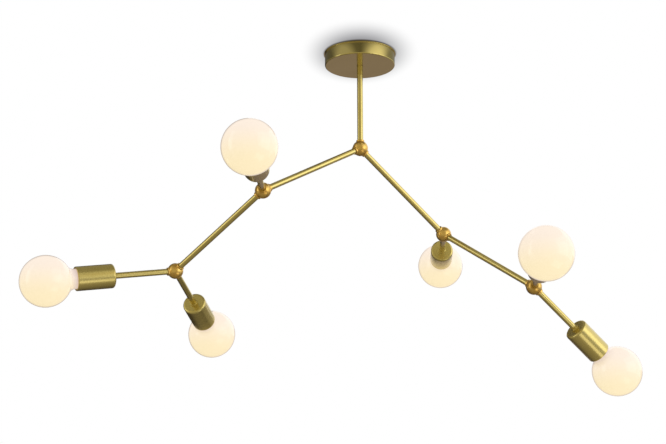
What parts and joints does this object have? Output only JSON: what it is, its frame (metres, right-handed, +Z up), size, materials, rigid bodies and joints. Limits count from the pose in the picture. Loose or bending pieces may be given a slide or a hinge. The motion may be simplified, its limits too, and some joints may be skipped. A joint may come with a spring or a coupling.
{
  "type": "chandelier",
  "caption": "Branching brass ceiling light: a short stem, three-way balls, slim rods and round opal lamps in brass cups under a shallow canopy.",
  "frame": {"origin": "centre of the canopy's rim, on the ceiling plane, on the stem's axis", "axes": "+Z up into the ceiling, +X to the right in the picture, +Y away from the viewer"},
  "size_m": [0.9723, 0.6839, 0.5552],
  "materials": {
    "satin_brass": "satin brushed, lacquered",
    "antique_brass": "antique satin, deeper and redder than the tubes",
    "zinc_steel": "zinc plated",
    "lead_sheath": "matte silicone sheath",
    "terminal_plastic": "matte moulded",
    "white_ceramic": "glazed white",
    "opal_glass": "opal, evenly lit from inside",
    "cap_metal": "rolled thread, plain",
    "contact_brass": "plain"
  },
  "bodies": {
    "ceiling_fixing": {"ceiling_crossbar": "zinc_steel", "canopy": "satin_brass", "canopy_screws": "satin_brass", "hanging_nipple": "zinc_steel", "nipple_washer": "zinc_steel", "nipple_locknut": "zinc_steel", "terminal_block": "terminal_plastic", "earth_screw": "zinc_steel", "canopy_lead": "lead_sheath"},
    "stem": {"stem_tube": "satin_brass", "hub_ball": "antique_brass", "stem_leads": "lead_sheath"},
    "left_inner_branch": {"left_inner_rod": "satin_brass", "left_inner_ball": "antique_brass", "left_inner_leads": "lead_sheath", "front_left_arm": "satin_brass", "front_left_cup": "satin_brass", "front_left_lampholder": "white_ceramic"},
    "left_outer_branch": {"left_outer_rod": "satin_brass", "left_outer_ball": "antique_brass", "left_outer_leads": "lead_sheath", "far_left_arm": "satin_brass", "far_left_cup": "satin_brass", "far_left_lampholder": "white_ceramic", "back_left_arm": "satin_brass", "back_left_cup": "satin_brass", "back_left_lampholder": "white_ceramic"},
    "right_inner_branch": {"right_inner_rod": "satin_brass", "right_inner_ball": "antique_brass", "right_inner_leads": "lead_sheath", "back_right_arm": "satin_brass", "back_right_cup": "satin_brass", "back_right_lampholder": "white_ceramic"},
    "right_outer_branch": {"right_outer_rod": "satin_brass", "right_outer_ball": "antique_brass", "right_outer_leads": "lead_sheath", "front_right_arm": "satin_brass", "front_right_cup": "satin_brass", "front_right_lampholder": "white_ceramic", "low_right_arm": "satin_brass", "low_right_cup": "satin_brass", "low_right_lampholder": "white_ceramic"},
    "far_left_bulb_foot": {"far_left_bulb_contact": "contact_brass"},
    "far_left_bulb": {"far_left_bulb_globe": "opal_glass", "far_left_bulb_cap": "cap_metal"},
    "back_left_bulb_foot": {"back_left_bulb_contact": "contact_brass"},
    "back_left_bulb": {"back_left_bulb_globe": "opal_glass", "back_left_bulb_cap": "cap_metal"},
    "front_left_bulb_foot": {"front_left_bulb_contact": "contact_brass"},
    "front_left_bulb": {"front_left_bulb_globe": "opal_glass", "front_left_bulb_cap": "cap_metal"},
    "back_right_bulb_foot": {"back_right_bulb_contact": "contact_brass"},
    "back_right_bulb": {"back_right_bulb_globe": "opal_glass", "back_right_bulb_cap": "cap_metal"},
    "front_right_bulb_foot": {"front_right_bulb_contact": "contact_brass"},
    "front_right_bulb": {"front_right_bulb_globe": "opal_glass", "front_right_bulb_cap": "cap_metal"},
    "low_right_bulb_foot": {"low_right_bulb_contact": "contact_brass"},
    "low_right_bulb": {"low_right_bulb_globe": "opal_glass", "low_right_bulb_cap": "cap_metal"}
  },
  "joints": [
    {"name": "stem_swivel", "type": "hinge", "parent": "ceiling_fixing", "child": "stem", "pos_m": [0, 0, -0.0163], "axis": [0, 0, 1], "range_deg": [-150, 150]},
    {"name": "left_inner_turn", "type": "hinge", "parent": "stem", "child": "left_inner_branch", "pos_m": [0, 0, -0.163], "axis": [-0.734, -0.4803, -0.4802], "range_deg": [-30, 30]},
    {"name": "left_outer_turn", "type": "hinge", "parent": "left_inner_branch", "child": "left_outer_branch", "pos_m": [-0.1512, -0.09894, -0.26193], "axis": [-0.6953, 0.5188, -0.4974], "range_deg": [-60, 60]},
    {"name": "right_inner_turn", "type": "hinge", "parent": "stem", "child": "right_inner_branch", "pos_m": [0, 0, -0.163], "axis": [0.6787, 0.4441, -0.585], "range_deg": [-30, 30]},
    {"name": "right_outer_turn", "type": "hinge", "parent": "right_inner_branch", "child": "right_outer_branch", "pos_m": [0.13981, 0.09149, -0.2835], "axis": [0.6272, -0.5539, -0.5476], "range_deg": [-60, 60]},
    {"name": "far_left_bulb_travel", "type": "slide", "parent": "left_outer_branch", "child": "far_left_bulb_foot", "axis": [-0.9008, -0.4016, -0.165], "range_m": [0, 0.01453]},
    {"name": "far_left_bulb_turn", "type": "hinge", "parent": "far_left_bulb_foot", "child": "far_left_bulb", "pos_m": [-0.43405, -0.05432, -0.38997], "axis": [-0.9008, -0.4016, -0.165], "range_deg": [0, 1440]},
    {"name": "back_left_bulb_travel", "type": "slide", "parent": "left_outer_branch", "child": "back_left_bulb_foot", "axis": [0.2055, 0.9204, -0.3325], "range_m": [0, 0.01453]},
    {"name": "back_left_bulb_turn", "type": "hinge", "parent": "back_left_bulb_foot", "child": "back_left_bulb", "pos_m": [-0.26256, 0.1506, -0.41593], "axis": [0.2055, 0.9204, -0.3325], "range_deg": [0, 1440]},
    {"name": "front_left_bulb_travel", "type": "slide", "parent": "left_inner_branch", "child": "front_left_bulb_foot", "axis": [-0.0387, -0.9991, 0.0172], "range_m": [0, 0.01453]},
    {"name": "front_left_bulb_turn", "type": "hinge", "parent": "front_left_bulb_foot", "child": "front_left_bulb", "pos_m": [-0.15719, -0.2538, -0.25926], "axis": [-0.0387, -0.9991, 0.0172], "range_deg": [0, 1440]},
    {"name": "back_right_bulb_travel", "type": "slide", "parent": "right_inner_branch", "child": "back_right_bulb_foot", "axis": [0.0515, 0.998, -0.0373], "range_m": [0, 0.01453]},
    {"name": "back_right_bulb_turn", "type": "hinge", "parent": "back_right_bulb_foot", "child": "back_right_bulb", "pos_m": [0.14779, 0.24617, -0.28929], "axis": [0.0515, 0.998, -0.0373], "range_deg": [0, 1440]},
    {"name": "front_right_bulb_travel", "type": "slide", "parent": "right_outer_branch", "child": "front_right_bulb_foot", "axis": [-0.0606, -0.9978, 0.0267], "range_m": [0, 0.01453]},
    {"name": "front_right_bulb_turn", "type": "hinge", "parent": "front_right_bulb_foot", "child": "front_right_bulb", "pos_m": [0.2596, -0.17727, -0.39218], "axis": [-0.0606, -0.9978, 0.0267], "range_deg": [0, 1440]},
    {"name": "low_right_bulb_travel", "type": "slide", "parent": "right_outer_branch", "child": "low_right_bulb_foot", "axis": [0.6878, 0.4439, -0.5743], "range_m": [0, 0.01453]},
    {"name": "low_right_bulb_turn", "type": "hinge", "parent": "low_right_bulb_foot", "child": "low_right_bulb", "pos_m": [0.37561, 0.0462, -0.48533], "axis": [0.6878, 0.4439, -0.5743], "range_deg": [0, 1440]}
  ],
  "couplings": [
    {"joint": "far_left_bulb_travel", "follows": "far_left_bulb_turn", "m_per_rad": 0.00057757},
    {"joint": "back_left_bulb_travel", "follows": "back_left_bulb_turn", "m_per_rad": 0.00057757},
    {"joint": "front_left_bulb_travel", "follows": "front_left_bulb_turn", "m_per_rad": 0.00057757},
    {"joint": "back_right_bulb_travel", "follows": "back_right_bulb_turn", "m_per_rad": 0.00057757},
    {"joint": "front_right_bulb_travel", "follows": "front_right_bulb_turn", "m_per_rad": 0.00057757},
    {"joint": "low_right_bulb_travel", "follows": "low_right_bulb_turn", "m_per_rad": 0.00057757}
  ]
}
